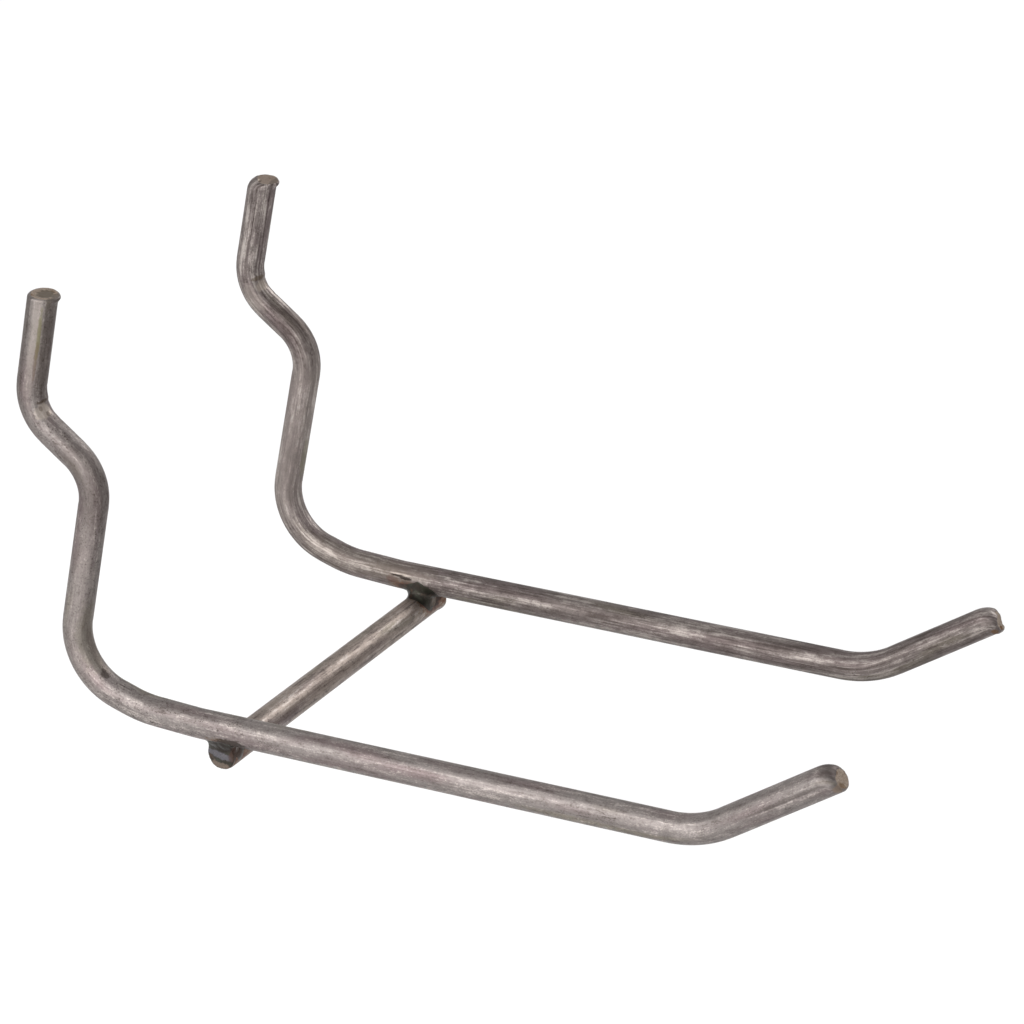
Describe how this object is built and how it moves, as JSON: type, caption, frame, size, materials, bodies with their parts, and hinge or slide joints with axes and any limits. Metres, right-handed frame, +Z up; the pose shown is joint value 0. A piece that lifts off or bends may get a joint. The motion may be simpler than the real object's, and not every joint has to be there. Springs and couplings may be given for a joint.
{
  "type": "double hook",
  "caption": "Double pegboard hook: two bent steel rods with upturned tips, tied by a cross bar welded under their heels.",
  "frame": {"origin": "midway between the axes of the two pegs, at the height where their straight part starts above the jog", "axes": "+X out of the board along the prongs, +Y from the left rod to the right rod as seen by someone facing the board, +Z up along the pegs and legs"},
  "size_m": [0.1129, 0.0555, 0.0526],
  "materials": {
    "drawn_steel": "bare cold-drawn steel wire, warm grey, with fine lengthwise die lines, dull mottling and sheared ends",
    "weld_metal": "dark, glassy weld scale with blue and brown heat tint round it"
  },
  "bodies": {
    "root": {"left_rod": "drawn_steel", "right_rod": "drawn_steel", "cross_bar": "drawn_steel", "left_weld": "weld_metal", "right_weld": "weld_metal"}
  },
  "joints": []
}
